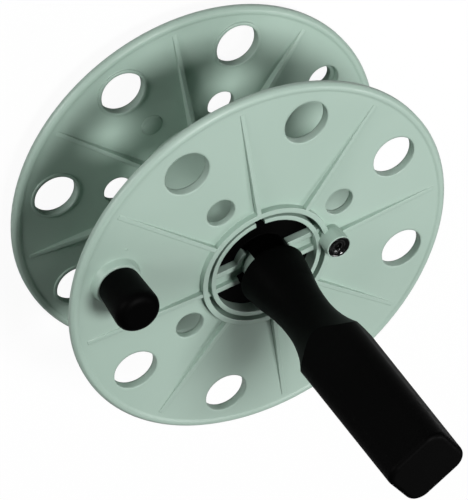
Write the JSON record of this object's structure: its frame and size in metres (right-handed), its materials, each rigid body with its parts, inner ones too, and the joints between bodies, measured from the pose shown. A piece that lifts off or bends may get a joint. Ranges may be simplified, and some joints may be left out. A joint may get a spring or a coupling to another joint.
{
  "type": "wire reel",
  "caption": "Hand wire reel: a ribbed plastic spool with two pierced flanges turns on the axle of a straight grip and is wound by a crank knob.",
  "frame": {"origin": "on the spool axis, at floor level under the reel standing on its rear end", "axes": "+Z along the spool axis from the rear end to the grip's end; X along the channel across the hub, the front screw boss on the -X side"},
  "size_m": [0.2, 0.2, 0.2308],
  "materials": {
    "spool_plastic": "satin moulded grey-green",
    "black_plastic": "satin moulded black",
    "screw_black": "glossy black"
  },
  "bodies": {
    "handle": {"handle": "black_plastic", "axle": "black_plastic"},
    "spool": {"flange_front": "spool_plastic", "flange_rear": "spool_plastic", "drum": "spool_plastic", "bearing": "black_plastic", "screw_front": "screw_black", "screw_rear": "screw_black"},
    "knob": {"knob": "black_plastic"}
  },
  "joints": [
    {"name": "spool_turn", "type": "hinge", "parent": "handle", "child": "spool", "pos_m": [0, 0, 0.0804], "axis": [0, 0, 1], "continuous": true},
    {"name": "knob_turn", "type": "hinge", "parent": "spool", "child": "knob", "pos_m": [0.07336, -0.03038, 0.0804], "axis": [0, 0, 1], "continuous": true}
  ]
}
